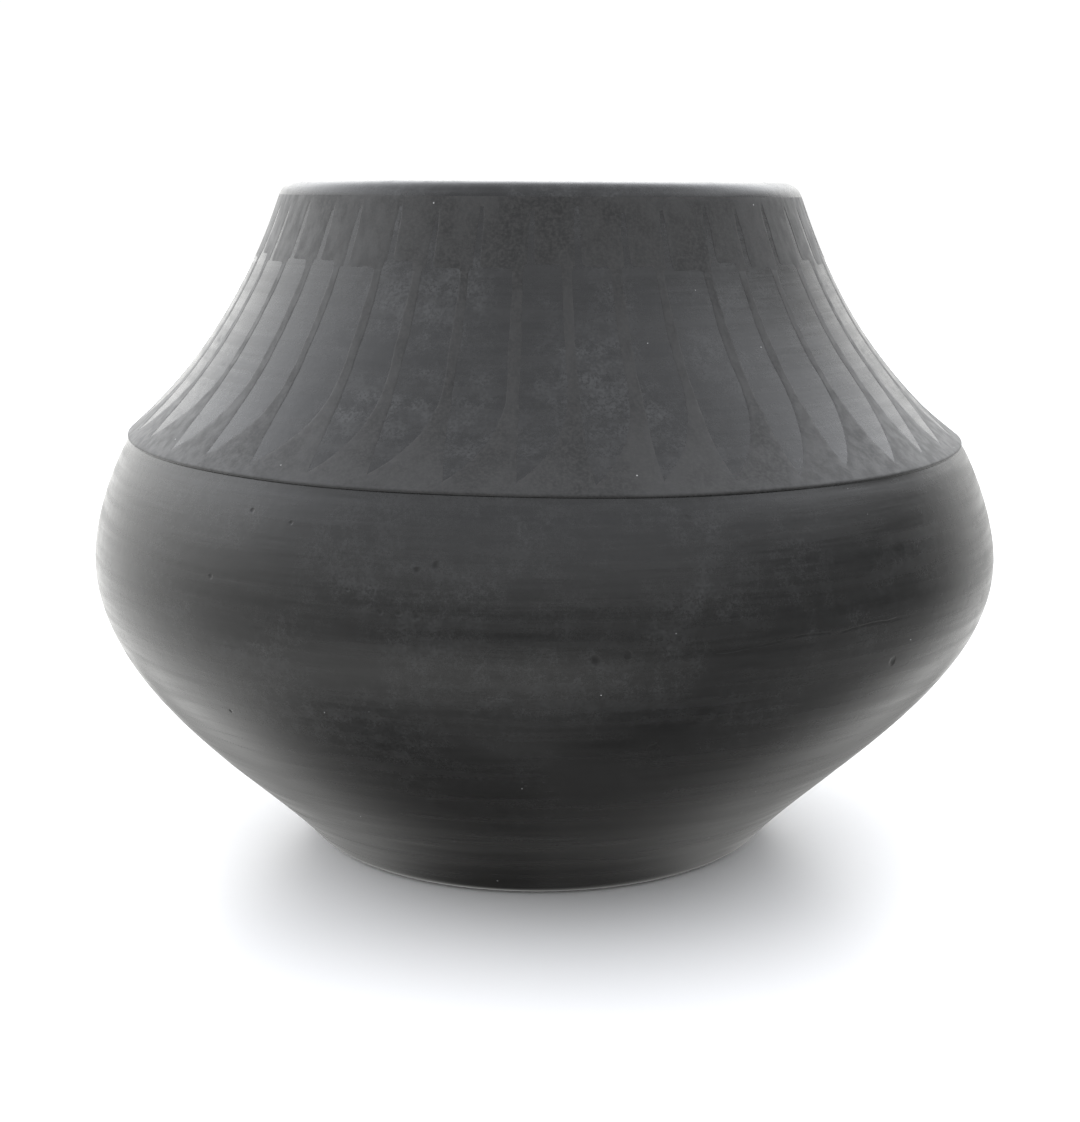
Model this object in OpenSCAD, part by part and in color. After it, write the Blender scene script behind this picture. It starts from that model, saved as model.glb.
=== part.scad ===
// Coil-built black pottery jar with a painted feather band, in millimetres.
// +Z is up, and the origin is the centre of the foot, on the surface that the jar stands on.
// The wall is made as the potter makes it: a flat base and rings of clay rope, each lapped inside
// the one below, then a polished slip over all of it, and matte slip painted on the shoulder.

/* [Body] */
// Widest diameter, at the belly
belly_d = 216; // [212:1:222]
// Height of the widest point
belly_z = 70.5; // [69:0.5:72]
// Height from the foot to the top of the lip
jar_h = 157.8; // [156:0.2:159]
// Diameter of the flat face that the jar stands on
foot_d = 102; // [98:1:106]
// Radius of the rounded edge of the foot
foot_edge_r = 8; // [7:0.5:9]
// Lean of the wall where it leaves the foot, in degrees above the horizontal
foot_lean = 50; // [46:1:54]
// Thickness of the wall
wall_t = 6; // [5:0.5:7]
// Thickness of the floor
floor_t = 7; // [6:0.5:8]

/* [Ledge and shoulder] */
// Diameter over the rolled ledge that ends the shoulder
ledge_d = 199; // [198:0.2:200.4]
// Height of the ledge at its widest
ledge_z = 99.3; // [98.7:0.1:99.9]
// How far the ledge stands out over the belly below it
ledge_step = 0.9; // [0.6:0.1:1.2]
// Lean of the shoulder where it leaves the ledge, in degrees above the horizontal
shoulder_lean = 41; // [38:1:44]
// Diameter of the corner between neck and lip
neck_d = 123.4; // [122:0.2:125]
// Lean of the neck below the lip, in degrees above the horizontal
neck_lean = 71; // [68:1:74]

/* [Mouth] */
// Diameter of the mouth at its narrowest
mouth_d = 109; // [108:0.5:110]
// Height of the straight stretch inside the mouth
throat_h = 6; // [5:0.5:7]
// Rise of the lip above its corner with the neck
lip_rise = 3.1; // [2.6:0.1:3.6]

/* [Coils] */
// How far each coil laps down inside the one below it
lap = 4; // [2:0.5:5]
// Depth of the rounded seat that each coil is pressed into
seat_depth = 0.9; // [0.4:0.1:1.2]

/* [Slip] */
// Thickness of the polished slip
slip_t = 0.4; // [0.3:0.1:0.5]
// Thickness of the matte slip painted over it
paint_t = 0.2; // [0.2:0.05:0.3]

/* [Feather band] */
// Number of feathers round the shoulder
feathers = 41; // [36:1:44]
// Turn of the first line between feathers from the front, in degrees
first_line = 4.5; // [0:0.5:8]
// Radius, seen from above, at which quills end and feathers begin
quill_end_r = 67.8; // [67:0.1:69]
// Radius, seen from above, of the feather tips
tip_r = 97; // [95:0.1:97.2]
// Radius, seen from above, at which a feather begins to narrow
narrowing_r = 80.5; // [78:0.5:86]
// Place of the tip across the feather, from 0 at its left line to 1 at its right line
tip_place = 0.12; // [0.1:0.02:0.5]
// Width of the matte line between two feathers
line_w = 2.3; // [1.8:0.1:2.6]
// Width of the polished line between two quills
gap_w = 1.4; // [1:0.1:1.6]
// Size of the rounded corner at the end of a quill
quill_corner = 0.7; // [0.4:0.1:1.2]
// Unevenness of the brush, from 0 for a ruled pattern
unevenness = 1; // [0:0.1:1.2]
// Start of that unevenness, in degrees
brush_start = 20; // [0:5:355]

/* [Hidden] */
$fn = 180;

belly_r = belly_d / 2;
foot_r = foot_d / 2;
ledge_r = ledge_d / 2;
neck_r = neck_d / 2;
mouth_r = mouth_d / 2;
neck_z = jar_h - lip_rise;

// Lengths of the curve handles that shape the outline
foot_pull = 21.5;
belly_pull_low = 27.8;
belly_pull_high = 9;
notch_pull = 8.3;
ledge_pull = 5;
neck_pull = 37.5;
lip_pull = 2.6;
throat_pull = 1.6;

// Shape of the ledge: the notch under it, its round, and where the shoulder leaves it
notch_drop = 0.7;
notch_lean = 58;
roll_low = 0.2;
roll_high = 0.4;
roll_bulge = 0.25;
roll_set_back = 0.9;
roll_rise = 0.75;

// Shape of the lip: its crest from the mouth, and the round from the crest down to the throat
crest_in = 2.6;
mouth_round = 3;

// Points per stretch of the outline
long_steps = 16;
belly_steps = 8;
short_steps = 7;
mouth_steps = 5;

// Outer heights of the joints between the coils, from the base up
joint_z = [3.2, 15.5, 29, 43.5, 61, 78.5, 92.5, 107.5, 121.5, 136, 148.6];
joint_steps = 6;

function lerp(a, b, t) = a + (b - a) * t;
function dir(a) = [cos(a), sin(a)];
function last(path) = path[len(path) - 1];
function part(path, from, to) = [for (i = [from:to]) path[i]];
function reverse(path) = [for (i = [len(path) - 1:-1:0]) path[i]];
function bezier_at(p, t) =
    p[0] * pow(1 - t, 3) + 3 * p[1] * t * pow(1 - t, 2) + 3 * p[2] * t * t * (1 - t) + p[3] * pow(t, 3);
// Points of a curve after its first one, so that stretches join without a repeat
function bezier(p, n) = [for (i = [1:n]) bezier_at(p, i / n)];
function arc(centre, r, a0, a1, n) = [for (i = [0:n]) centre + r * dir(lerp(a0, a1, i / n))];
function tangent(path, i) =
    let (d = path[min(i + 1, len(path) - 1)] - path[max(i - 1, 0)]) d / norm(d);
// A path moved to its left by distance d, times the share that each point takes of it
function beside_path(path, d, share = []) =
    [for (i = [0:len(path) - 1])
        let (t = tangent(path, i), s = len(share) > 0 ? share[i] : 1) path[i] + d * s * [-t[1], t[0]]];

// Outer outline, as [radius, height] points from the foot to the mouth
foot_arc = arc([foot_r, foot_edge_r], foot_edge_r, -90, foot_lean - 90, short_steps);
wall_start = last(foot_arc);
belly_point = [belly_r, belly_z];
notch = [ledge_r - ledge_step, ledge_z - notch_drop];
shoulder_start = [ledge_r - roll_set_back, ledge_z + roll_rise];
neck_corner = [neck_r, neck_z];
lip_crest = [mouth_r + crest_in, jar_h];
throat_top = [mouth_r, jar_h - mouth_round];
throat_end = throat_top - [0, throat_h];

lower_wall = bezier([wall_start, wall_start + foot_pull * dir(foot_lean),
                     belly_point - [0, belly_pull_low], belly_point], long_steps);
upper_belly = bezier([belly_point, belly_point + [0, belly_pull_high],
                      notch - notch_pull * dir(180 - notch_lean), notch], belly_steps);
ledge_roll = bezier([notch, notch + [ledge_step, roll_low],
                     [ledge_r + roll_bulge, ledge_z + roll_high], shoulder_start], short_steps);
shoulder = bezier([shoulder_start, shoulder_start + ledge_pull * dir(180 - shoulder_lean),
                   neck_corner - neck_pull * dir(180 - neck_lean), neck_corner], long_steps);
lip_outside = bezier([neck_corner, neck_corner + throat_pull * dir(180 - neck_lean),
                      lip_crest + [lip_pull, 0], lip_crest], short_steps);
lip_inside = bezier([lip_crest, lip_crest - [crest_in / 2, 0],
                     throat_top + [0, throat_pull], throat_top], mouth_steps);
outline = concat(foot_arc, lower_wall, upper_belly, ledge_roll, shoulder,
                 lip_outside, lip_inside, [throat_end]);

// The slip starts on the rounded foot edge, ends in the throat, and thins to nothing at both ends
slip_from = 2;
fade_steps = 3;
slip_path = part(outline, slip_from, len(outline) - 1);
slip_end = len(slip_path) - 1;
slip_share = [for (i = [0:slip_end]) min(1, i / fade_steps, (slip_end - i) / fade_steps)];
clay_path = beside_path(slip_path, slip_t, slip_share);

// Clay surface under the slip, split at the lip's crest into outside and mouth
crest_i = slip_end - 1 - len(lip_inside);
clay_outside = part(clay_path, 0, crest_i);
clay_mouth = part(clay_path, crest_i + 1, slip_end);

// Inner surface of the wall: flat floor, a round up into the wall, the wall at its even thickness,
// and a thickening towards the throat
floor_round = 15;
floor_edge = [foot_r - floor_round, floor_t];
floor_pull = 12;
blend_pull = 8;
blend_turn = 8;
inside_low = beside_path(concat(part(lower_wall, 1, long_steps - 1),
                                part(upper_belly, 0, belly_steps - 2)), wall_t);
inside_shoulder = beside_path(part(shoulder, 2, long_steps - 5), wall_t);
inner_surface = concat(
    [floor_edge],
    bezier([floor_edge, floor_edge + [floor_pull, 0],
            inside_low[0] - blend_pull * dir(foot_lean - blend_turn / 2), inside_low[0]], short_steps),
    part(inside_low, 1, len(inside_low) - 1),
    inside_shoulder,
    bezier([last(inside_shoulder),
            last(inside_shoulder) + blend_pull * dir(180 - neck_lean + blend_turn),
            throat_end - [0, blend_pull], throat_end], short_steps));

// Points of the clay's outside and inside at a height
outside_table = [for (p = clay_outside) [p[1], p[0]]];
inside_table = [for (p = inner_surface) [p[1], p[0]]];
function outside_at(z) = [lookup(z, outside_table), z];
function inside_at(z) = [lookup(z, inside_table), z];
reach = 1.5;
function wall_direction(z) = let (d = outside_at(z + reach) - outside_at(z - reach)) d / norm(d);
// Height, inside the wall, of the joint that shows outside at height z
least_over_floor = 0.4;
function joint_inside_z(z) =
    let (t = wall_direction(z)) max(floor_t + least_over_floor, z + wall_t * t[0] - lap * t[1]);
// A joint's section from outside to inside: the round bottom of one coil in the seat of the last
function joint_line(z) =
    let (a = outside_at(z), b = inside_at(joint_inside_z(z)))
    [for (i = [0:joint_steps]) let (t = i / joint_steps) lerp(a, b, t) - [0, seat_depth * sin(180 * t)]];
// Points of a path that lie clearly between two heights
clearly = 0.05;
function between(path, low, high) =
    [for (p = path) if (p[1] > low + clearly && p[1] < high - clearly) p];

module clay() color([0.10, 0.10, 0.105]) children();
module polished() color([0.05, 0.05, 0.055]) children();
module matte() color([0.17, 0.17, 0.175]) children();
module turned(points) rotate_extrude() polygon(points);

// The flat disc that the jar is started on
module base_pancake() {
    joint = joint_line(joint_z[0]);
    clay() turned(concat([[0, 0]], part(outline, 0, slip_from - 1),
        between(clay_outside, -1, joint_z[0]), joint,
        reverse(between(inner_surface, -1, last(joint)[1])), [[0, floor_t]]));
}

// Ring of clay rope number i, between two joints
module coil(i) {
    low = joint_line(joint_z[i]);
    high = joint_line(joint_z[i + 1]);
    clay() turned(concat(
        between(clay_outside, joint_z[i], joint_z[i + 1]), high,
        reverse(between(inner_surface, last(low)[1], last(high)[1])), reverse(low)));
}

// The last ring, rounded over into the mouth
module lip_coil() {
    low = joint_line(last(joint_z));
    clay() turned(concat(
        between(clay_outside, last(joint_z), jar_h), clay_mouth,
        reverse(between(inner_surface, last(low)[1], throat_end[1])), reverse(low)));
}

// One polished coat, from the foot's edge over the lip and into the mouth
module polished_slip() {
    polished() turned(concat(slip_path, reverse(part(clay_path, 1, slip_end - 1))));
}

// Stretch of the outline under the matte paint, from the edge of the ledge to the lip's corner
ledge_i = len(foot_arc) + len(lower_wall) + len(upper_belly) + 1;
neck_i = len(foot_arc) + len(lower_wall) + len(upper_belly) + len(ledge_roll) + len(shoulder) - 1;
painted = part(outline, ledge_i, neck_i);
module paint_coat() {
    matte() turned(concat(painted, reverse(beside_path(painted, -paint_t))));
}

// How far the brush strays: in the turn of a line, in a tip's radius and place, in a quill's length
line_stray = 0.5;
tip_stray = 0.4;
place_stray = 0.04;
quill_stray = 0.35;
function stray(i, kind) = unevenness * sin(137.5 * (i % feathers) + 61 * kind + brush_start);

// How far a feather reaches up past the end of its quill, and how its edges curve in to the tip
quill_bite = 0.5;
tip_curve = 2;
tip_steps = [0, 0.35, 0.6, 0.8, 0.92];
// How far the polished line between two quills stands to the right of the matte line below it
gap_offset = 0.8;
// Width of the matte border between the lip's corner and the first of the polished lines
border_w = 0.95;
border_stray = 0.25;
// Extra height of the cuts through the shoulder
clear = 5;

function line_turn(i) = first_line + 360 * i / feathers + line_stray * stray(i, 0);
// Point seen from above, at radius r along a turn from the front and d to the right of it
function plan(r, turn, d) = r * [sin(turn), -cos(turn)] + d * [cos(turn), sin(turn)];

// Outline of feather i, seen from above: square at the quill's end, then narrowing to a tip
module feather(i) {
    left = line_turn(i);
    right = line_turn(i + 1);
    top = quill_end_r - quill_bite + quill_stray * stray(i, 3);
    tip = tip_r + tip_stray * stray(i, 1);
    tip_turn = lerp(left, right, tip_place + place_stray * stray(i, 2));
    gap_left = line_w / 2 + gap_offset;
    gap_right = gap_left + gap_w;
    function narrowed(turn, d, t) =
        let (r = lerp(narrowing_r, tip, t))
        lerp(plan(r, turn, d), plan(r, tip_turn, 0), pow(t, tip_curve));
    polygon(concat(
        [plan(top, left, line_w / 2), plan(top, left, gap_left),
         plan(top - quill_corner, left, gap_left), plan(top - quill_corner, left, gap_right),
         plan(top, left, gap_right + quill_corner), plan(top, right, -line_w / 2 - quill_corner),
         plan(top + quill_corner, right, -line_w / 2)],
        [for (t = tip_steps) narrowed(right, -line_w / 2, t)],
        [plan(tip, tip_turn, 0)],
        [for (t = reverse(tip_steps)) narrowed(left, line_w / 2, t)]));
}

// Polished line between two quills, to the right of the matte line below it
module quill_gap(i) {
    turn = line_turn(i);
    left = line_w / 2 + gap_offset;
    start = neck_r + border_w + border_stray * stray(i, 4);
    polygon([plan(start, turn, left + 0.2 * gap_w), plan(start, turn, left + 0.8 * gap_w),
             plan(quill_end_r, turn, left + gap_w), plan(quill_end_r, turn, left)]);
}

// Cuts a shape that is seen from above through the whole height of the shoulder
module through_shoulder() {
    translate([0, 0, ledge_z - clear]) linear_extrude(jar_h - ledge_z + 2 * clear) children();
}

quill_end_z = lookup(-quill_end_r, [for (p = shoulder) [-p[0], p[1]]]);

// Matte border below the lip, with a quill for each feather hanging from it
module matte_quill_band() {
    difference() {
        paint_coat();
        cylinder(r = ledge_r + clear, h = quill_end_z);
        for (i = [0:feathers - 1]) through_shoulder() quill_gap(i);
        for (i = [0:feathers - 1]) through_shoulder() feather(i);
    }
}

// Matte lines between the feathers, and the ground round their tips down to the ledge
module matte_feather_ground() {
    difference() {
        paint_coat();
        translate([0, 0, quill_end_z]) cylinder(r = ledge_r, h = jar_h);
        for (i = [0:feathers - 1]) through_shoulder() feather(i);
    }
}

base_pancake();
coil(0);  // lower_coil_1
coil(1);  // lower_coil_2
coil(2);  // lower_coil_3
coil(3);  // lower_coil_4
coil(4);  // belly_coil
coil(5);  // upper_belly_coil
coil(6);  // ledge_coil
coil(7);  // shoulder_coil_1
coil(8);  // shoulder_coil_2
coil(9);  // neck_coil
lip_coil();
polished_slip();
matte_quill_band();
matte_feather_ground();
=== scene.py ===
import bisect
import math

import bmesh
import bpy
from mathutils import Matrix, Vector


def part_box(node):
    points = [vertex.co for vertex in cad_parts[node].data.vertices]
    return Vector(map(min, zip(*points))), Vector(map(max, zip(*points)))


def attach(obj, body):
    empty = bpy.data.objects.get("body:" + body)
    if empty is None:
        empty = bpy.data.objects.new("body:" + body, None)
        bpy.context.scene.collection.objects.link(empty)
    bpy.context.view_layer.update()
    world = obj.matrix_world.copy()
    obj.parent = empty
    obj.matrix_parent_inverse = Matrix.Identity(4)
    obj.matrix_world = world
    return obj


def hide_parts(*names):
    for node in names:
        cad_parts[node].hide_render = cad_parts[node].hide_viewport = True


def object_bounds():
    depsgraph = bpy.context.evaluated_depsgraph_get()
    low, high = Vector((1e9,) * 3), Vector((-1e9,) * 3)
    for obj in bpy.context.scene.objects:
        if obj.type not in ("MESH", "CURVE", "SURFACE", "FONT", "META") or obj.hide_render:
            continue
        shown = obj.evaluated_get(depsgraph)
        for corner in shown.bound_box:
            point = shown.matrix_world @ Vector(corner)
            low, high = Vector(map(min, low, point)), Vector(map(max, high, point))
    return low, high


# Coil-built black pottery jar with a painted feather band.
# Lengths are millimetres until a vertex is made, and turns are degrees from the front, plus to the
# viewer's right. The outline is a list of (radius, height) points from the foot to the mouth.

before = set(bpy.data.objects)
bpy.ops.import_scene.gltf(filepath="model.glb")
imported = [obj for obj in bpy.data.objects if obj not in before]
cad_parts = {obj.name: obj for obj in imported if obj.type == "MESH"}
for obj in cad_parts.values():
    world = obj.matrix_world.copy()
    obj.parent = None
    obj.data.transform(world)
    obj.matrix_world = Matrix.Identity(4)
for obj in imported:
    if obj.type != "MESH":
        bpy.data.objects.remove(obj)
cad_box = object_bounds()

MM = 0.001

# Main sizes of the jar, read from the frame where a node gives them
SLIP_T = 0.4
WALL_T = 6.0
FLOOR_T = 7.0
BELLY_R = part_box("belly_coil")[1].x / MM + SLIP_T
BELLY_Z = 70.5
JAR_H = cad_box[1].z / MM
FOOT_R = 51.0
FOOT_EDGE_R = 8.0
FOOT_LEAN = 50.0
LEDGE_R = 99.5
LEDGE_Z = 99.3
LEDGE_STEP = 0.4
NOTCH_DROP = 0.5
NOTCH_LEAN = 58.0
ROLL_SET_BACK = 0.55
ROLL_RISE = 0.5
SHOULDER_LEAN = 41.0
NECK_R = 61.7
NECK_LEAN = 71.0
LIP_RISE = 3.1
NECK_Z = JAR_H - LIP_RISE
MOUTH_R = 54.5
LIP_CREST = (MOUTH_R + 2.6, JAR_H)
THROAT_TOP = (MOUTH_R, JAR_H - 3.0)
THROAT_END = (MOUTH_R, JAR_H - 9.0)

# Handles of the outline's curves, at their starts and ends
LOWER_HANDLES = (21.5, 27.8)
UPPER_HANDLES = (9.0, 8.3)
ROLL_HANDLES = ((LEDGE_STEP, 0.25), (0.6, -0.4))
SHOULDER_HANDLES = (5.0, 37.5)
LIP_HANDLES = (1.6, 2.6)
MOUTH_HANDLES = (1.3, 1.6)

# The inside, where the floor turns up into the wall and the wall into the throat
FLOOR_EDGE = (FOOT_R - 15.0, FLOOR_T)
FLOOR_HANDLES = (12.0, 8.0)
INNER_FOOT_LEAN = 46.0
INNER_NECK_LEAN = 63.0
INNER_NECK_HANDLES = (8.0, 8.0)
INNER_SHOULDER_SHARE = 0.7

# The laps between the coils, by the heights at which they show outside
JOINT_Z = [3.2, 15.5, 29.0, 43.5, 61.0, 78.5, 92.5, 107.5, 121.5, 136.0, 148.6]
COIL_LAP = 4.0
SEAT_DEPTH = 0.9
SEAT_ABOVE_FLOOR = 0.4
SEAT_STEPS = 8
SLOPE_SPAN = 1.5
JOINT_CLEAR = 0.05

# How finely the pieces are turned and drawn
SLIP_SIDES = 384
CLAY_SIDES = 192
SLIP_STEP = 0.9
CLAY_STEP = 1.6
LIP_STEP = 0.45
SLIP_FADE = 3
ON_AXIS = 1e-6
SHARP_ANGLE = 50.0

# The feather band
FEATHERS = 41
FIRST_LINE = 4.5
QUILL_END_R = 67.8
QUILL_RISE = 0.5
QUILL_CORNER = 0.7
LINE_FILLET = 0.7
TIP_R = 97.0
TIP_PLACE = 0.12
TIP_CURVE = 2.0
NARROWING_R = 80.5
PAST_TIPS = 9.0
LINE_W_TOP = 2.05
LINE_W = 2.35
LINE_WIDENS = 9.0
GAP_W = 1.4
GAP_OFFSET = 0.8
GAP_POINT = 0.35
GAP_OPENS = (-0.1, 1.6)
BORDER_W = 0.95
PAINT_LIFT = 0.05
PAINT_EDGE = 0.012
PAINT_SINK = 0.05

# How far the painter strays: each line in degrees, tips, quills and border in millimetres, and the
# rest as shares
LINE_STRAY = 0.5
TIP_R_STRAY = 0.4
TIP_PLACE_STRAY = 0.04
QUILL_STRAY = 0.35
BORDER_STRAY = 0.3
SWELL_STRAY = 0.1
OF_LINE, OF_TIP_R, OF_TIP_PLACE, OF_QUILL, OF_BORDER, OF_SWELL = range(6)

# Wavers of a brushed edge: size, waves along it, and how the phase differs between edges
WAVERS = [(0.07, 0.55, 1.0), (0.05, 1.3, 1.7), (0.03, 3.1, 2.3)]

# The jar isn't quite true: its rings wander sideways by height and its upper half leans right
WANDER = [
    (0, -1.7), (25, -1.7), (55, -0.35), (75, 0.1), (97, 0.25), (106, -0.6), (125, -1.0), (158, -0.95),
]
LEAN = math.tan(math.radians(0.65))
LEAN_FROM, LEAN_TO = 30.0, 90.0
LEAN_ABOUT = 45.0
LIP_LEAN = 0.5
LIP_FROM, LIP_TO = 130.0, 154.0
FRONT_LIP_RISE = 0.55
BACK_LIP_DROP = 0.8
TILT_EASES = (0.0, 50.0)

# Its wall is waved all round: share, waves in a turn, twist with height, and phase. The waves of the
# wall start above the table and away from the axis, and the ledge and its notch have their own.
WAVES = [(0.34, 2, 0.031, 1.3), (0.26, 3, -0.047, 2.1), (0.22, 5, 0.083, 3.7), (0.18, 9, -0.121, 5.3)]
WALL_WAVE = 0.16
WALL_IN = 0.22
WAVES_FROM_Z = (3.0, 20.0)
WAVES_FROM_R = (20.0, 50.0)
LEDGE_WAVE = 0.3
LEDGE_WAVE_H = 5.0
AT_LEDGE = (80.0, 96.0)
NOTCH_FILL = 0.32
NOTCH_FILL_H = 0.35
AT_NOTCH = (95.0, 97.0)


def lerp(a, b, t):
    return a + (b - a) * t


def lerp_point(p, q, t):
    return (lerp(p[0], q[0], t), lerp(p[1], q[1], t))


def smooth(a, b, x):
    t = min(1.0, max(0.0, (x - a) / (b - a)))
    return t * t * (3 - 2 * t)


def hump(x, width):
    return math.exp(-((x / width) ** 2))


def table(points, x):
    """Value at x on a line through points, which rise in x."""
    i = bisect.bisect_left(points, (x,))
    if i == 0:
        return points[0][1]
    if i == len(points):
        return points[-1][1]
    (x0, y0), (x1, y1) = points[i - 1], points[i]
    return lerp(y0, y1, (x - x0) / (x1 - x0))


def toward(angle, length=1.0):
    a = math.radians(angle)
    return (length * math.cos(a), length * math.sin(a))


def plus(p, q, k=1.0):
    return (p[0] + k * q[0], p[1] + k * q[1])


def curve(start, leave, arrive, end, step):
    """Points after the start of a cubic curve, about a step apart. Its handles are leave, from the
    start, and arrive, from the end."""
    points = (start, plus(start, leave), plus(end, arrive), end)
    length = sum(math.dist(p, q) for p, q in zip(points, points[1:]))
    n = max(3, round(length / step))
    out = []
    for i in range(1, n + 1):
        t = i / n
        s = 1 - t
        shares = (s**3, 3 * t * s * s, 3 * t * t * s, t**3)
        out.append(tuple(sum(w * p[a] for w, p in zip(shares, points)) for a in (0, 1)))
    return out


def tangents(path):
    out = []
    for i in range(len(path)):
        a, b = path[max(i - 1, 0)], path[min(i + 1, len(path) - 1)]
        d = math.dist(a, b)
        out.append(((b[0] - a[0]) / d, (b[1] - a[1]) / d))
    return out


def beside(path, distances):
    """The path moved to its left, by one distance for each point."""
    return [(p[0] - t[1] * d, p[1] + t[0] * d) for p, t, d in zip(path, tangents(path), distances)]


def foot_arc(step):
    centre = (FOOT_R, FOOT_EDGE_R)
    steps = max(4, round(FOOT_EDGE_R * 2 / step))
    return [
        plus(centre, toward(lerp(-90, FOOT_LEAN - 90, i / steps), FOOT_EDGE_R)) for i in range(steps + 1)
    ]


def outline(step):
    """Stretches of the outer outline, by name."""
    fine = min(step, LIP_STEP)
    foot = foot_arc(step)
    belly = (BELLY_R, BELLY_Z)
    notch = (LEDGE_R - LEDGE_STEP, LEDGE_Z - NOTCH_DROP)
    roll_end = (LEDGE_R - ROLL_SET_BACK, LEDGE_Z + ROLL_RISE)
    neck = (NECK_R, NECK_Z)
    shoulder_leave = toward(180 - SHOULDER_LEAN, SHOULDER_HANDLES[0])
    shoulder_arrive = toward(180 - NECK_LEAN, -SHOULDER_HANDLES[1])
    return {
        "foot": foot,
        "lower": curve(
            foot[-1], toward(FOOT_LEAN, LOWER_HANDLES[0]), (0, -LOWER_HANDLES[1]), belly, step
        ),
        "upper": curve(
            belly, (0, UPPER_HANDLES[0]), toward(180 - NOTCH_LEAN, -UPPER_HANDLES[1]), notch, step
        ),
        "ledge": curve(notch, *ROLL_HANDLES, roll_end, fine / 2),
        "shoulder": curve(roll_end, shoulder_leave, shoulder_arrive, neck, step),
        "lip": curve(
            neck, toward(180 - NECK_LEAN, LIP_HANDLES[0]), (LIP_HANDLES[1], 0), LIP_CREST, fine
        ),
        "mouth": curve(LIP_CREST, (-MOUTH_HANDLES[0], 0), (0, MOUTH_HANDLES[1]), THROAT_TOP, fine),
        "throat": [lerp_point(THROAT_TOP, THROAT_END, i / 4) for i in range(1, 5)],
    }


def wave(turn, z, seed):
    """Slow unevenness of a hand-built wall, from -1 to 1."""
    a = math.radians(turn)
    return sum(
        share * math.sin(times * a + twist * z + phase * seed) for share, times, twist, phase in WAVES
    )


def place(r, turn, z):
    """Where a point of the true jar lies on the handmade one, in metres."""
    a = math.radians(turn)
    r += (WALL_WAVE * wave(turn, z, 1) - WALL_IN) * smooth(*WAVES_FROM_Z, z) * smooth(*WAVES_FROM_R, r)
    near_ledge = hump(z - LEDGE_Z, LEDGE_WAVE_H) * smooth(*AT_LEDGE, r)
    in_notch = hump(z - LEDGE_Z + NOTCH_DROP, NOTCH_FILL_H) * smooth(*AT_NOTCH, r)
    r += NOTCH_FILL * max(0.0, wave(turn, 0, 6)) * in_notch
    z += LEDGE_WAVE * wave(turn, 0, 4) * near_ledge
    to_back = -math.cos(a) * smooth(*TILT_EASES, abs(r * math.cos(a)))
    lip = smooth(LIP_FROM, LIP_TO, z)
    z -= lip * to_back * (BACK_LIP_DROP if to_back > 0 else FRONT_LIP_RISE)
    x = r * math.sin(a) + table(WANDER, z)
    y = -r * math.cos(a)
    z -= (x + LEAN_ABOUT) * LEAN * smooth(LEAN_FROM, LEAN_TO, z) * lerp(1, LIP_LEAN, lip)
    return Vector((x * MM, y * MM, max(z, 0.0) * MM))


def mesh_object(name, body_of_mesh, material, nodes):
    mesh = bpy.data.meshes.new(name)
    bmesh.ops.recalc_face_normals(body_of_mesh, faces=body_of_mesh.faces)
    body_of_mesh.to_mesh(mesh)
    body_of_mesh.free()
    mesh.polygons.foreach_set("use_smooth", [True] * len(mesh.polygons))
    mesh.set_sharp_from_angle(angle=math.radians(SHARP_ANGLE))
    piece = bpy.data.objects.new(name, mesh)
    bpy.context.scene.collection.objects.link(piece)
    mesh.materials.append(material)
    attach(piece, "root")
    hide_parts(*nodes)


def turned(name, loop, sides, material, nodes):
    """A closed outline turned round the axis, with one vertex where it meets the axis."""
    bm = bmesh.new()
    rings = []
    for r, z in loop:
        if r < ON_AXIS:
            rings.append([bm.verts.new(place(0, 0, z))])
        else:
            rings.append([bm.verts.new(place(r, 360 * k / sides, z)) for k in range(sides)])
    for a, b in zip(rings, rings[1:] + rings[:1]):
        if len(a) == 1 and len(b) == 1:
            continue
        for k in range(sides):
            n = (k + 1) % sides
            corners = [a[k % len(a)], a[n % len(a)], b[n % len(b)], b[k % len(b)]]
            bm.faces.new(list(dict.fromkeys(corners)))
    mesh_object(name, bm, material, nodes)


# Paths of the clay and the slip

def bare_foot(parts):
    """How many points of the foot's arc the slip leaves bare, where the jar stands."""
    return len(parts["foot"]) * 2 // 7


def slip_paths(step):
    """Outer and inner path of the polished slip, which thins to nothing at both ends."""
    parts = outline(step)
    path = parts["foot"][bare_foot(parts):]
    for key in ("lower", "upper", "ledge", "shoulder", "lip", "mouth", "throat"):
        path = path + parts[key]
    end = len(path) - 1
    depth = [SLIP_T * min(1, i / SLIP_FADE, (end - i) / SLIP_FADE) for i in range(end + 1)]
    return parts, path, beside(path, depth)


def inner_surface(parts):
    wall = parts["lower"] + parts["upper"][:-3]
    low = beside(wall, [WALL_T] * len(wall))[2:]
    shoulder = beside(parts["shoulder"], [WALL_T] * len(parts["shoulder"]))
    high = shoulder[3:int(len(shoulder) * INNER_SHOULDER_SHARE)]
    out_of_floor = curve(
        FLOOR_EDGE, (FLOOR_HANDLES[0], 0), toward(INNER_FOOT_LEAN, -FLOOR_HANDLES[1]), low[0], CLAY_STEP
    )
    into_throat = curve(
        high[-1], toward(180 - INNER_NECK_LEAN, INNER_NECK_HANDLES[0]), (0, -INNER_NECK_HANDLES[1]),
        THROAT_END, CLAY_STEP,
    )
    return [FLOOR_EDGE] + out_of_floor + low[1:] + high + into_throat


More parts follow.
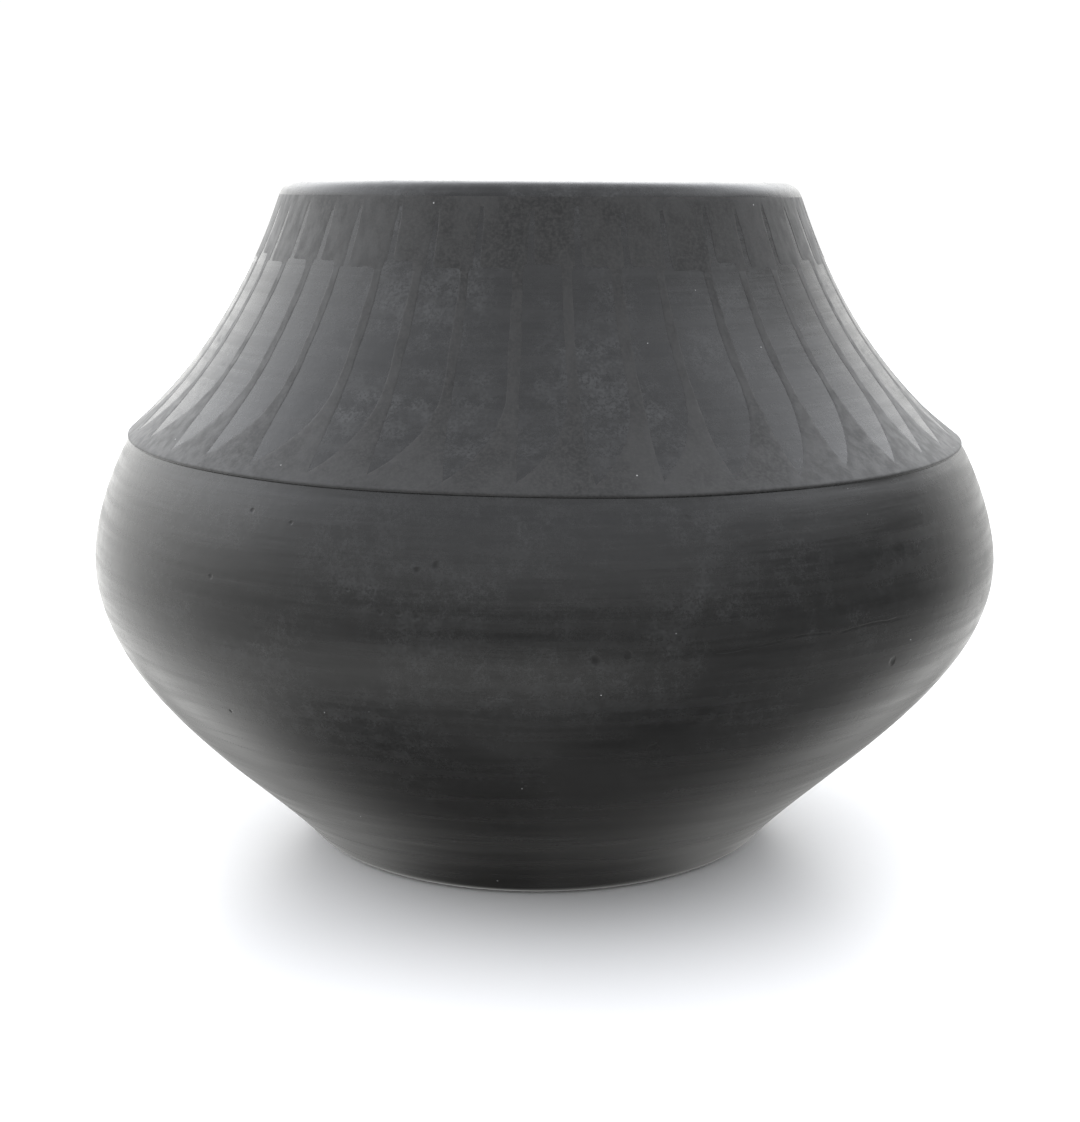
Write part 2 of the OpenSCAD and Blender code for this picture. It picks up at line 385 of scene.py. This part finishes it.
SLIP_PARTS, SLIP_PATH, SLIP_INNER = slip_paths(SLIP_STEP)
CLAY_PARTS, _, CLAY_PATH = slip_paths(CLAY_STEP)
CREST = max(range(len(CLAY_PATH)), key=lambda i: CLAY_PATH[i][1])
CLAY_OUTSIDE = CLAY_PATH[:CREST + 1]
CLAY_MOUTH = CLAY_PATH[CREST + 1:]
INSIDE = inner_surface(CLAY_PARTS)
OUTSIDE_BY_Z = [(z, r) for r, z in CLAY_OUTSIDE]
INSIDE_BY_Z = [(z, r) for r, z in INSIDE]


def outside_at(z):
    return (table(OUTSIDE_BY_Z, z), z)


def inside_at(z):
    return (table(INSIDE_BY_Z, z), z)


# Procedural finishes

class Graph:
    """A node tree that is put together node by node."""

    def __init__(self, tree):
        self.tree = tree

    def node(self, kind, values=None, **settings):
        made = self.tree.nodes.new(kind)
        for key, value in settings.items():
            setattr(made, key, value)
        for key, value in (values or {}).items():
            if isinstance(value, bpy.types.NodeSocket):
                self.tree.links.new(value, made.inputs[key])
            else:
                made.inputs[key].default_value = value
        return made

    def math(self, operation, a, b=0.0):
        return self.node("ShaderNodeMath", {0: a, 1: b}, operation=operation).outputs[0]

    def add(self, a, b):
        return self.math("ADD", a, b)

    def minus(self, a, b):
        return self.math("SUBTRACT", a, b)

    def times(self, a, b):
        return self.math("MULTIPLY", a, b)

    def larger(self, a, b):
        return self.math("MAXIMUM", a, b)

    def spread(self, value, low, high, to_low=0.0, to_high=1.0):
        """The value eased from one range to another, and held at its ends."""
        values = {"Value": value, "From Min": low, "From Max": high, "To Min": to_low, "To Max": to_high}
        return self.node("ShaderNodeMapRange", values, interpolation_type="SMOOTHSTEP").outputs["Result"]

    def blend(self, share, a, b):
        """Between two numbers."""
        return self.node("ShaderNodeMix", {0: share, 2: a, 3: b}).outputs[0]

    def mix(self, share, a, b):
        """Between two colours."""
        return self.node("ShaderNodeMix", {0: share, 6: a, 7: b}, data_type="RGBA").outputs[2]


class Finish(Graph):
    """A procedural material, in millimetres."""

    def __init__(self, name):
        self.material = bpy.data.materials.new(name)
        self.material.use_nodes = True
        super().__init__(self.material.node_tree)
        self.shader = self.tree.nodes["Principled BSDF"]
        where = {"Vector": self.node("ShaderNodeTexCoord").outputs["Object"], "Scale": 1 / MM}
        self.mm = self.node("ShaderNodeVectorMath", where, operation="SCALE").outputs[0]
        split = self.node("ShaderNodeSeparateXYZ", {"Vector": self.mm})
        self.across, self.back, self.height = split.outputs

    def stretched(self, along, upright, offset=(0, 0, 0)):
        """Position with its own scale round the jar and up it, per millimetre."""
        values = {"Vector": self.mm, "Location": offset, "Scale": (along, along, upright)}
        return self.node("ShaderNodeMapping", values).outputs[0]

    def noise(self, along, upright=None, detail=3.0, rough=0.5, seed=0.0):
        upright = along if upright is None else upright
        vector = self.stretched(along, upright, (seed, seed * 0.7, seed * 1.3))
        values = {"Vector": vector, "Scale": 1.0, "Detail": detail, "Roughness": rough}
        return self.node("ShaderNodeTexNoise", values).outputs[0]

    def nick(self, point, size, ragged):
        """1 inside a small ragged spot round a point, fading to 0 at its rim."""
        core, rim, waver = 0.6 * size, 1.5 * size, 0.9 * size
        values = {0: self.mm, 1: point}
        away = self.node("ShaderNodeVectorMath", values, operation="DISTANCE").outputs["Value"]
        return self.spread(self.add(away, self.times(ragged, waver)), core, rim, 1.0, 0.0)

    def specks(self, spacing, size, share, seed=0):
        """Small scattered spots, one in some cells of a given spacing."""
        vector = self.stretched(1 / spacing, 1 / spacing, (seed, seed, seed))
        cells = self.node("ShaderNodeTexVoronoi", {"Vector": vector, "Scale": 1.0, "Randomness": 1.0})
        spot = self.spread(cells.outputs["Distance"], size / spacing * 0.5, size / spacing, 1.0, 0.0)
        which = self.node("ShaderNodeSeparateColor", {"Color": cells.outputs["Color"]}).outputs[0]
        return self.times(spot, self.math("LESS_THAN", which, share))

    def finish(self, colour, roughness, relief, strength, depth, specular):
        self.tree.links.new(colour, self.shader.inputs["Base Color"])
        self.tree.links.new(roughness, self.shader.inputs["Roughness"])
        values = {"Height": relief, "Strength": strength, "Distance": depth * MM}
        raised = self.node("ShaderNodeBump", values)
        self.tree.links.new(raised.outputs[0], self.shader.inputs["Normal"])
        self.shader.inputs["Specular IOR Level"].default_value = specular
        return self.material


def gray(value, warm=0.0):
    """A neutral colour, with a little red taken from its blue."""
    return (value * (1 + warm), value, value * (1 - warm), 1.0)


# Nicks in the polished slip, as the photo shows them: turn, height, size, and how far off the wall
# the middle of the nick lies, which makes it fainter
NICKS = [
    (15.9, 94.8, 1.1, -0.2), (5.2, 68.7, 1.3, 0.6), (8.6, 69.7, 1.0, 0.7), (42.9, 61.1, 1.2, 0.5),
    (-39.9, 49.6, 0.6, 0.4), (12.8, 48.2, 1.4, 0.6), (-13.7, 84.9, 0.9, 0.3), (-11.7, 85.9, 0.9, 0.3),
    (-17.3, 76.7, 0.8, 0.5), (-15.3, 76.7, 0.8, 0.4), (-13.4, 76.5, 1.1, 0.3), (-21.2, 80.5, 0.6, 0.7),
    (-35.4, 92.9, 0.7, 0.2), (-29.5, 91.7, 0.6, 0.3), (-39.6, 79.1, 0.7, 0.5),
]

# The scratch on the belly: its height on the axis, its rise per millimetre to the right, how far it
# wavers, and where its ends fade
SCRATCH_Z = 66.4
SCRATCH_RISE = 0.035
SCRATCH_WAVER = 2.4
SCRATCH_LEFT_END = (22, 34)
SCRATCH_RIGHT_END = (78, 68)


def polished_finish():
    """Burnished slip: strokes of the stone round the jar, a cloudy bloom of wear made stronger on the
    shoulder as painted sheen, and small damage.
    """
    f = Finish("burnished_slip")
    strokes = f.noise(0.022, 0.42, detail=3, rough=0.55, seed=3)
    fine_strokes = f.noise(0.07, 1.2, detail=2, seed=47)
    facets = f.noise(0.012, 0.11, detail=2, seed=9)
    clouds = f.noise(0.05, detail=3, rough=0.5, seed=17)
    mottle = f.noise(0.28, detail=4, rough=0.62, seed=23)
    grain = f.noise(1.5, detail=2, rough=0.7, seed=53)
    fine_relief = f.noise(0.7, 0.9, detail=2, seed=41)

    above_foot = f.spread(f.height, 5, 70)
    # Painted sheen: the bloom is lighter and stronger on the shoulder, standing for the brighter light
    # the shoulder catches; its cloudy patches are wear
    painted_sheen_on_shoulder = f.spread(f.height, LEDGE_Z - 3, LEDGE_Z + 8)
    worn = f.times(f.spread(mottle, 0.3, 0.7, 0.1, 1.1), f.spread(grain, 0.3, 0.7, 0.2, 1.4))
    worn_bloom_and_painted_sheen = f.times(f.spread(clouds, 0.34, 0.7, 0.12, 1.0), worn)
    worn_bloom_and_painted_sheen = f.times(worn_bloom_and_painted_sheen, f.add(f.times(painted_sheen_on_shoulder, 0.42), f.times(above_foot, 0.48)))

    nicks = f.larger(scratch(f), f.times(f.specks(spacing=26, size=0.9, share=0.3, seed=5), 0.8))
    ragged = f.noise(1.1, detail=3)
    for turn, z, size, off in NICKS:
        r, _ = outside_at(z)
        nicks = f.larger(nicks, f.nick(place(r + off, turn, z) / MM, size, ragged))

    ground = f.mix(above_foot, gray(0.0048, 0.08), gray(0.004, -0.02))
    brushed = f.mix(above_foot, gray(0.0062, 0.08), gray(0.0105))
    streaks = f.add(f.times(strokes, 0.6), f.times(fine_strokes, 0.4))
    colour = f.mix(f.spread(streaks, 0.3, 0.72), ground, brushed)
    # The bloom's light grey is partly wear and partly painted sheen on the shoulder
    colour = f.mix(worn_bloom_and_painted_sheen, colour, gray(0.033, -0.02))
    colour = f.mix(nicks, colour, gray(0.003))
    for dust in (f.specks(11, 0.25, 0.5, 31), f.specks(5, 0.15, 0.35, 37)):
        colour = f.mix(dust, colour, gray(0.34))

    roughness = f.add(f.spread(strokes, 0.3, 0.72, 0.2, 0.29), f.times(worn_bloom_and_painted_sheen, 0.16))
    roughness = f.add(roughness, f.times(nicks, 0.3))
    small = f.add(f.times(mottle, 0.22), f.times(fine_relief, 0.08))
    relief = f.add(f.times(strokes, 0.4), facets)
    relief = f.add(relief, f.times(small, f.spread(f.height, 25, 75)))
    relief = f.minus(relief, f.times(nicks, 0.6))
    return f.finish(colour, roughness, relief, strength=0.5, depth=0.35, specular=0.36)


def scratch(f):
    """A long dark scratch on the right of the belly, near its widest point."""
    waver = f.times(f.noise(0.08, detail=2), SCRATCH_WAVER)
    path = f.add(f.times(f.across, SCRATCH_RISE), waver)
    off = f.math("ABSOLUTE", f.minus(f.height, f.add(path, SCRATCH_Z)))
    broken = f.spread(f.noise(0.3, detail=2, seed=61), 0.35, 0.55)
    line = f.times(f.spread(off, 0.12, 0.42, 0.9, 0.0), broken)
    ends = f.times(f.spread(f.across, *SCRATCH_LEFT_END), f.spread(f.across, *SCRATCH_RIGHT_END))
    in_front = f.math("LESS_THAN", f.back, 0.0)
    return f.times(f.times(line, ends), in_front)


def matte_finish():
    """Thin matte slip, washed on unevenly, with a dry brush's grain."""
    f = Finish("matte_paint")
    washes = f.noise(0.055, 0.03, detail=3, rough=0.55, seed=7)
    blotches = f.noise(0.25, detail=3, rough=0.6, seed=57)
    grain = f.noise(1.4, detail=3, rough=0.7, seed=13)
    strokes = f.noise(0.5, 0.12, detail=2, seed=19)
    thick = f.add(f.times(washes, 0.7), f.times(blotches, 0.3))
    colour = f.mix(f.spread(thick, 0.38, 0.62), gray(0.007), gray(0.021))
    colour = f.mix(f.spread(grain, 0.35, 0.7, 0.0, 0.7), colour, gray(0.029, 0.03))
    colour = f.mix(f.specks(spacing=9, size=0.22, share=0.5, seed=43), colour, gray(0.3))
    roughness = f.spread(strokes, 0.3, 0.7, 0.42, 0.54)
    relief = f.add(f.times(grain, 0.5), strokes)
    f.shader.inputs["Sheen Weight"].default_value = 0.1
    f.shader.inputs["Sheen Roughness"].default_value = 0.45
    return f.finish(colour, roughness, relief, strength=0.5, depth=0.05, specular=0.3)


def clay_finish():
    """Bare clay inside, smoked unevenly, with the marks of scraping."""
    f = Finish("smoked_clay")
    soot = f.noise(0.03, 0.06, detail=4, rough=0.6, seed=2)
    scrape = f.noise(0.03, 0.8, detail=3, seed=8)
    grain = f.noise(1.4, detail=3, rough=0.7, seed=29)
    colour = f.mix(f.spread(soot, 0.3, 0.7), gray(0.022, 0.04), gray(0.045, 0.06))
    colour = f.mix(f.spread(grain, 0.5, 0.8, 0.0, 0.5), colour, gray(0.075, 0.05))
    colour = f.mix(f.specks(spacing=5, size=0.3, share=0.3, seed=11), colour, gray(0.13, 0.05))
    roughness = f.spread(scrape, 0.3, 0.7, 0.55, 0.75)
    relief = f.add(f.times(grain, 0.35), scrape)
    return f.finish(colour, roughness, relief, strength=0.6, depth=0.25, specular=0.3)


def table_finish():
    """Smooth white card, hardly shaded."""
    f = Finish("white_table")
    shade = f.spread(f.noise(0.01, detail=2), 0.3, 0.7)
    grain = f.noise(0.4, detail=2)
    roughness = f.spread(grain, 0.3, 0.7, 0.32, 0.38)
    colour = f.mix(shade, gray(0.9, 0.004), gray(0.88))
    return f.finish(colour, roughness, grain, strength=0.1, depth=0.02, specular=0.3)


SLIP = polished_finish()
PAINT = matte_finish()
CLAY = clay_finish()

# The coils of the wall, laid one inside the other, and the slip over them


def joint_line(z):
    """Section of the joint that shows outside at height z, from outside to inside."""
    a, b = outside_at(z - SLOPE_SPAN), outside_at(z + SLOPE_SPAN)
    d = math.dist(a, b)
    along = ((b[0] - a[0]) / d, (b[1] - a[1]) / d)
    inner_z = max(FLOOR_T + SEAT_ABOVE_FLOOR, z + WALL_T * along[0] - COIL_LAP * along[1])
    start, end = outside_at(z), inside_at(inner_z)
    line = []
    for i in range(SEAT_STEPS + 1):
        dip = SEAT_DEPTH * math.sin(math.pi * i / SEAT_STEPS)
        line.append(plus(lerp_point(start, end, i / SEAT_STEPS), (0, -dip)))
    return line


def between(path, low, high):
    return [p for p in path if low + JOINT_CLEAR < p[1] < high - JOINT_CLEAR]


def build_clay():
    joints = [joint_line(z) for z in JOINT_Z]
    first, last = joints[0], joints[-1]
    foot = CLAY_PARTS["foot"][:bare_foot(CLAY_PARTS)]
    loop = (
        [(0, 0)] + foot + between(CLAY_OUTSIDE, -1, JOINT_Z[0]) + first
        + between(INSIDE, -1, first[-1][1])[::-1] + [(0, FLOOR_T)]
    )
    turned("base_disc", loop, CLAY_SIDES, CLAY, ["base_pancake"])
    names = ["lower_coil_1", "lower_coil_2", "lower_coil_3", "lower_coil_4", "belly_coil",
             "upper_belly_coil", "ledge_coil", "shoulder_coil_1", "shoulder_coil_2", "neck_coil"]
    for i, name in enumerate(names):
        low, high = joints[i], joints[i + 1]
        loop = (
            between(CLAY_OUTSIDE, JOINT_Z[i], JOINT_Z[i + 1]) + high
            + between(INSIDE, low[-1][1], high[-1][1])[::-1] + low[::-1]
        )
        turned("clay_" + name, loop, CLAY_SIDES, CLAY, [name])
    loop = (
        between(CLAY_OUTSIDE, JOINT_Z[-1], math.inf) + [CLAY_PATH[CREST]] + CLAY_MOUTH
        + between(INSIDE, last[-1][1], THROAT_END[1])[::-1] + last[::-1]
    )
    turned("clay_lip_coil", loop, CLAY_SIDES, CLAY, ["lip_coil"])


def build_slip():
    loop = SLIP_PATH + SLIP_INNER[1:-1][::-1]
    turned("burnished_slip_coat", loop, SLIP_SIDES, SLIP, ["polished_slip"])


# The painted band, which lies on the slip between the ledge and the lip's corner

# Points of the ledge's roll, next to the notch, that the paint leaves bare
BARE_ROLL = 2
BAND = SLIP_PARTS["ledge"][BARE_ROLL:] + SLIP_PARTS["shoulder"]
BAND_END = float(len(BAND) - 1)
BAND_TURNS = tangents(BAND)
SHOULDER_FROM = len(SLIP_PARTS["ledge"]) - BARE_ROLL - 1
BY_RADIUS = [(-BAND[i][0], float(i)) for i in range(SHOULDER_FROM, len(BAND))]


def band_index(r):
    """Place along the band, as a fraction of its points, where the shoulder has radius r."""
    return table(BY_RADIUS, -r)


def band_radius(s):
    k = min(int(s), len(BAND) - 2)
    return lerp(BAND[k][0], BAND[k + 1][0], s - k)


def band_point(s, turn, lift):
    i = min(int(s), len(BAND) - 2)
    p = lerp_point(BAND[i], BAND[i + 1], s - i)
    d = lerp_point(BAND_TURNS[i], BAND_TURNS[i + 1], s - i)
    return place(p[0] + lift * d[1], turn, p[1] - lift * d[0])


def degrees_of(length, r):
    return math.degrees(length / r)


def stray(i, kind):
    """How the painter strays at feather i, from -1 to 1, unalike from one feather to the next."""
    return math.sin(math.radians(137.5 * (i % FEATHERS) + 61 * kind + 20))


def brush(i, side, r):
    """Small waver of a painted edge, in millimetres."""
    k = 37 * (i % FEATHERS) + 101 * side
    return sum(size * math.sin(waves * r + phase * k) for size, waves, phase in WAVERS)


def line_turn(i):
    return FIRST_LINE + 360 * i / FEATHERS + LINE_STRAY * stray(i, OF_LINE)


def line_half(r, i):
    swell = 1 + SWELL_STRAY * stray(i, OF_SWELL)
    return 0.5 * swell * lerp(LINE_W_TOP, LINE_W, smooth(QUILL_END_R, QUILL_END_R + LINE_WIDENS, r))


def tip_turn(i):
    return lerp(line_turn(i), line_turn(i + 1), TIP_PLACE + TIP_PLACE_STRAY * stray(i, OF_TIP_PLACE))


def tip_radius(i):
    return TIP_R + TIP_R_STRAY * stray(i, OF_TIP_R)


def toward_tip(i, r, straight):
    t = min(1.0, max(0.0, (r - NARROWING_R) / (tip_radius(i) - NARROWING_R)))
    return lerp(straight, tip_turn(i), t**TIP_CURVE)


def right_edge_of_feather(i, r):
    """Turn of feather i's right edge, which is the left edge of line i + 1."""
    straight = line_turn(i + 1) - degrees_of(line_half(r, i + 1) + brush(i + 1, 0, r), r)
    return toward_tip(i, r, straight)


def left_edge_of_feather(i, r):
    straight = line_turn(i) + degrees_of(line_half(r, i) + brush(i, 1, r), r)
    return toward_tip(i, r, straight)


def gap_start(i):
    return NECK_R + BORDER_W + BORDER_STRAY * stray(i, OF_BORDER)


def gap_edge(i, side, r):
    """Turn of the left (0) or right (1) edge of the polished gap between two quills."""
    start = gap_start(i)
    opened = smooth(start + GAP_OPENS[0], start + GAP_OPENS[1], r)
    inset = lerp(GAP_POINT, 0.0, opened)
    half = line_half(QUILL_END_R, i) + brush(i, 1, QUILL_END_R)
    across = half + GAP_OFFSET + (inset if side == 0 else GAP_W - inset) + brush(i, 2 + side, r) * opened
    return line_turn(i) + degrees_of(across, r)


def quill_end(i):
    return QUILL_END_R - QUILL_RISE + QUILL_STRAY * stray(i, OF_QUILL)


class Coat:
    """A thin closed coat over part of the band, made of quads that share their corners."""

    # Corners that agree to this fraction of a step along the band, and of a degree, are one
    STEP_GRAIN = 500
    TURN_GRAIN = 5000

    def __init__(self):
        self.bm = bmesh.new()
        self.found = {}
        self.thin = {}

    def corner(self, s, turn):
        key = (round(s * self.STEP_GRAIN), round((turn % 360) * self.TURN_GRAIN))
        if key not in self.found:
            self.found[key] = (
                self.bm.verts.new(band_point(s, turn, PAINT_LIFT)),
                self.bm.verts.new(band_point(s, turn, -PAINT_SINK)),
            )
            self.thin[self.found[key][0]] = band_point(s, turn, PAINT_EDGE)
        return self.found[key]

    def patch(self, grid):
        """Adds a grid of (place along the band, turn) points, column by column."""
        for left, right in zip(grid, grid[1:]):
            for j in range(len(left) - 1):
                ring = [self.corner(*left[j]), self.corner(*right[j]),
                        self.corner(*right[j + 1]), self.corner(*left[j + 1])]
                ring = list(dict.fromkeys(ring))
                if len(ring) > 2:
                    self.bm.faces.new([c[0] for c in ring])

    def close(self):
        """Gives the coat its underside and its edges."""
        under = dict(self.found.values())
        tops = list(self.bm.faces)
        rims = [e for e in self.bm.edges if len(e.link_faces) == 1]
        for face in tops:
            self.bm.faces.new([under[v] for v in reversed(face.verts)])
        for edge in rims:
            a, b = edge.verts
            a.co, b.co = self.thin[a], self.thin[b]
            self.bm.faces.new([b, a, under[a], under[b]])
        loose = [v for v in self.bm.verts if not v.link_faces]
        bmesh.ops.delete(self.bm, geom=loose, context="VERTS")
        return self.bm


GROUND_COLUMNS = 12
ROWS_APART = 0.2


def build_feather_ground():
    """Lines between the feathers, widening round the tips down to the ledge."""
    coat = Coat()
    top = band_index(QUILL_END_R)
    rows = [top] + [float(i) for i in range(math.ceil(top - ROWS_APART) - 1, -1, -1)]
    radii = [band_radius(s) if s > SHOULDER_FROM else TIP_R + PAST_TIPS for s in rows]
    for i in range(FEATHERS):
        grid = []
        for k in range(GROUND_COLUMNS + 1):
            column = []
            for s, r in zip(rows, radii):
                left, right = right_edge_of_feather(i - 1, r), left_edge_of_feather(i, r)
                column.append((s, lerp(left, right, k / GROUND_COLUMNS)))
            grid.append(column)
        coat.patch(grid)
    mesh_object(
        "matte_feather_ground_coat", coat.close(), PAINT, ["matte_feather_ground"]
    )


# Columns of a quill: from its left edge, back from the line under it, and on from that line
CORNER_COLUMNS = (0, 0.1, 0.25, 0.45, 0.7, 1.3, 2.2, 3.2)
FILLET_COLUMNS = (0.7, 0.4, 0.15, 0.0)
STEP_COLUMNS = (0.0, 0.12, 0.3)
BORDER_ROWS = 3
QUILL_ROWS = 9
GAP_COLUMNS = 2


def build_quill_band():
    """Blocks of matte paint hanging from the border under the lip's corner, one for each feather."""
    coat = Coat()
    for i in range(FEATHERS):
        coat.patch(quill_grid(i))
        coat.patch(border_over_gap(i))
    mesh_object("matte_quill_band_coat", coat.close(), PAINT, ["matte_quill_band"])


def quill_grid(i):
    """Columns of the quill right of gap i, which has a round corner at its left and meets the line
    under its right end."""
    left = gap_edge(i, 1, QUILL_END_R)
    per_degree = math.radians(1) * QUILL_END_R
    width = (gap_edge(i + 1, 0, QUILL_END_R) - left) * per_degree
    line_from = (right_edge_of_feather(i, QUILL_END_R) - left) * per_degree
    line_to = (left_edge_of_feather(i + 1, QUILL_END_R) - left) * per_degree
    columns = [*CORNER_COLUMNS, *(line_from - d for d in FILLET_COLUMNS), (line_from + line_to) / 2,
               *(line_to + d for d in STEP_COLUMNS), width]
    grid = []
    for d in columns:
        if d <= line_from:
            from_corner = 1 - min(1, d / QUILL_CORNER)
            corner = QUILL_CORNER * (1 - math.sqrt(1 - from_corner**2))
            near_line = max(0.0, 1 - (line_from - d) / LINE_FILLET)
            bottom = lerp(quill_end(i), QUILL_END_R, near_line**2) - corner
        else:
            bottom = lerp(QUILL_END_R, quill_end(i + 1), smooth(0, STEP_COLUMNS[-1], d - line_to))
        across = d / width
        first = lerp(band_index(gap_start(i)), band_index(gap_start(i + 1)), across)
        column = [lerp(BAND_END, first, j / BORDER_ROWS) for j in range(BORDER_ROWS)]
        column += [lerp(first, band_index(bottom), j / QUILL_ROWS) for j in range(QUILL_ROWS + 1)]
        grid.append([
            (s, lerp(gap_edge(i, 1, band_radius(s)), gap_edge(i + 1, 0, band_radius(s)), across))
            for s in column
        ])
    return grid


def border_over_gap(i):
    """Columns of the border between two quills."""
    start = band_index(gap_start(i))
    column = [lerp(BAND_END, start, j / BORDER_ROWS) for j in range(BORDER_ROWS + 1)]
    edges = [[gap_edge(i, side, band_radius(s)) for s in column] for side in (0, 1)]
    return [
        [(s, lerp(left, right, k / GAP_COLUMNS)) for s, left, right in zip(column, *edges)]
        for k in range(GAP_COLUMNS + 1)
    ]


build_clay()
build_slip()
build_feather_ground()
build_quill_band()


# Floor, light and camera

FLOOR_HALF = 3000.0


def build_floor():
    bm = bmesh.new()
    half = FLOOR_HALF * MM
    corners = [(-half, -half, 0), (half, -half, 0), (half, half, 0), (-half, half, 0)]
    bm.faces.new([bm.verts.new(corner) for corner in corners])
    mesh = bpy.data.meshes.new("floor")
    bm.to_mesh(mesh)
    bm.free()
    floor = bpy.data.objects.new("floor", mesh)
    bpy.context.scene.collection.objects.link(floor)
    # The room below takes its place as the jar mirrors it
    floor.visible_glossy = False
    mesh.materials.append(table_finish())


# Brightness of the room as the jar mirrors it: low in front of the jar, high up, and overhead. The
# rises are (from turn, to turn, rise), for the low part of the room and for the table under it.
ROOM_FRONT = 0.5
ROOM_SIDES = 3.6
ROOM_ABOVE = 1.6
ROOM_RISES = [(-15, -125, 1.4), (20, 55, 0.02), (70, 95, -0.12), (98, 138, 0.8), (140, 180, 0.2)]
TABLE_RISES = [(60, -10, 0.95), (-30, -90, -0.95), (50, 85, 0.3)]

# Where the room changes, by the upward part of a direction: 1 is straight up and -1 straight down
ROOM_BRIGHTENS = (0.0, 0.6)
OVERHEAD = (0.55, 0.95)
ROOM_FADES = (-0.97, -0.62)
TABLE_STARTS = (-0.05, -0.45)
NEAR_JAR = (-0.55, -0.97)
TABLE_UNDER_JAR = 0.41

# The bright part of the room starts lower everywhere but at the right
ROOM_LIFT = 0.05
RIGHT_DROP = 0.26
RIGHT_SIDE = ((30, 70), (150, 115))

# The jar's own shade on the table: behind it, less at its right, and darkest by the foot's far side
BEHIND = (120, 160)
RIGHT_BEHIND = (70, 125)
RIGHT_SHARE = 0.5
SHADE = 0.48
SHADE_STARTS, SHADE_ENDS = (-0.5, -0.8), (-0.998, -0.94)
FOOT_SHADE = 0.35
FOOT_SHADE_STARTS, FOOT_SHADE_ENDS = (-0.345, -0.372), (-0.8, -0.6)

WHITE = (1.0, 1.0, 1.0, 1.0)
TABLE_TINT = (1.0, 1.0, 0.985, 1.0)
SKY_TINT = (0.965, 0.985, 1.03, 1.0)
WHITE_BACKDROP = 1.05


def room_light(g, turn, back, up):
    """Brightness of the room by direction."""

    def by_turn(start, end, rise=1.0):
        return g.spread(turn, math.radians(start), math.radians(end), 0.0, rise)

    def rises_round_jar(rises):
        level = 0.0
        for rise in rises:
            level = g.add(level, by_turn(*rise))
        return level

    overhead = g.larger(g.spread(up, *OVERHEAD), g.spread(back, 0.1, -0.6))
    high = g.blend(overhead, ROOM_SIDES, ROOM_ABOVE)
    room = g.times(rises_round_jar(ROOM_RISES), g.spread(up, *ROOM_FADES))
    table_top = g.times(rises_round_jar(TABLE_RISES), g.spread(up, *TABLE_STARTS))
    low = g.add(ROOM_FRONT, g.add(room, table_top))
    at_right = g.times(by_turn(*RIGHT_SIDE[0]), by_turn(*RIGHT_SIDE[1]))
    raised_up = g.minus(up, g.minus(g.times(at_right, RIGHT_DROP), ROOM_LIFT))
    light = g.blend(g.spread(raised_up, *ROOM_BRIGHTENS), low, high)
    light = g.times(light, g.spread(up, *NEAR_JAR, 1.0, TABLE_UNDER_JAR))

    behind = g.spread(g.math("ABSOLUTE", turn), *(math.radians(a) for a in BEHIND))
    shaded = g.larger(behind, g.times(by_turn(*RIGHT_BEHIND), RIGHT_SHARE))
    shaded = g.times(g.times(g.spread(up, *SHADE_STARTS), g.spread(up, *SHADE_ENDS)), shaded)
    light = g.times(light, g.blend(shaded, 1.0, SHADE))
    by_foot = g.times(g.spread(up, *FOOT_SHADE_STARTS), g.spread(up, *FOOT_SHADE_ENDS))
    by_foot = g.times(g.spread(behind, 0.6, 1.0), by_foot)
    return g.times(light, g.blend(by_foot, 1.0, FOOT_SHADE))


def build_studio():
    """White soft surroundings that are dimmer in front of the jar, low down, and to its lower right."""
    world = bpy.data.worlds.new("studio")
    bpy.context.scene.world = world
    world.use_nodes = True
    world.node_tree.nodes.clear()
    g = Graph(world.node_tree)
    where = g.node("ShaderNodeTexCoord").outputs["Generated"]
    right, back, up = g.node("ShaderNodeSeparateXYZ", {"Vector": where}).outputs
    turn = g.math("ARCTAN2", right, g.times(back, -1.0))
    seen = g.node("ShaderNodeLightPath").outputs["Is Camera Ray"]
    light = g.blend(seen, room_light(g, turn, back, up), WHITE_BACKDROP)
    tint = g.mix(seen, g.mix(g.spread(up, 0.0, 0.8), TABLE_TINT, SKY_TINT), WHITE)
    background = g.node("ShaderNodeBackground", {"Color": tint, "Strength": light})
    g.node("ShaderNodeOutputWorld", {"Surface": background.outputs[0]})


# The photo's camera, fitted to the ellipses of the ledge, lip and foot
CAMERA_PLACE = (0.0, -465.97, 161.2)
CAMERA_PITCH = 11.58
SENSOR = 36.0
LENS = 61.88
SHIFT_PIXELS = -4.7
PHOTO_H_PIXELS = 1122


def build_camera():
    data = bpy.data.cameras.new("camera")
    camera = bpy.data.objects.new("camera", data)
    bpy.context.scene.collection.objects.link(camera)
    bpy.context.scene.camera = camera
    data.sensor_width = SENSOR
    data.lens = LENS
    data.clip_start = 10 * MM
    data.shift_x = SHIFT_PIXELS / PHOTO_H_PIXELS
    camera.location = [c * MM for c in CAMERA_PLACE]
    camera.rotation_euler = (math.radians(90 - CAMERA_PITCH), 0, 0)
    bpy.context.scene.view_settings.view_transform = "Standard"


build_floor()
build_studio()
build_camera()
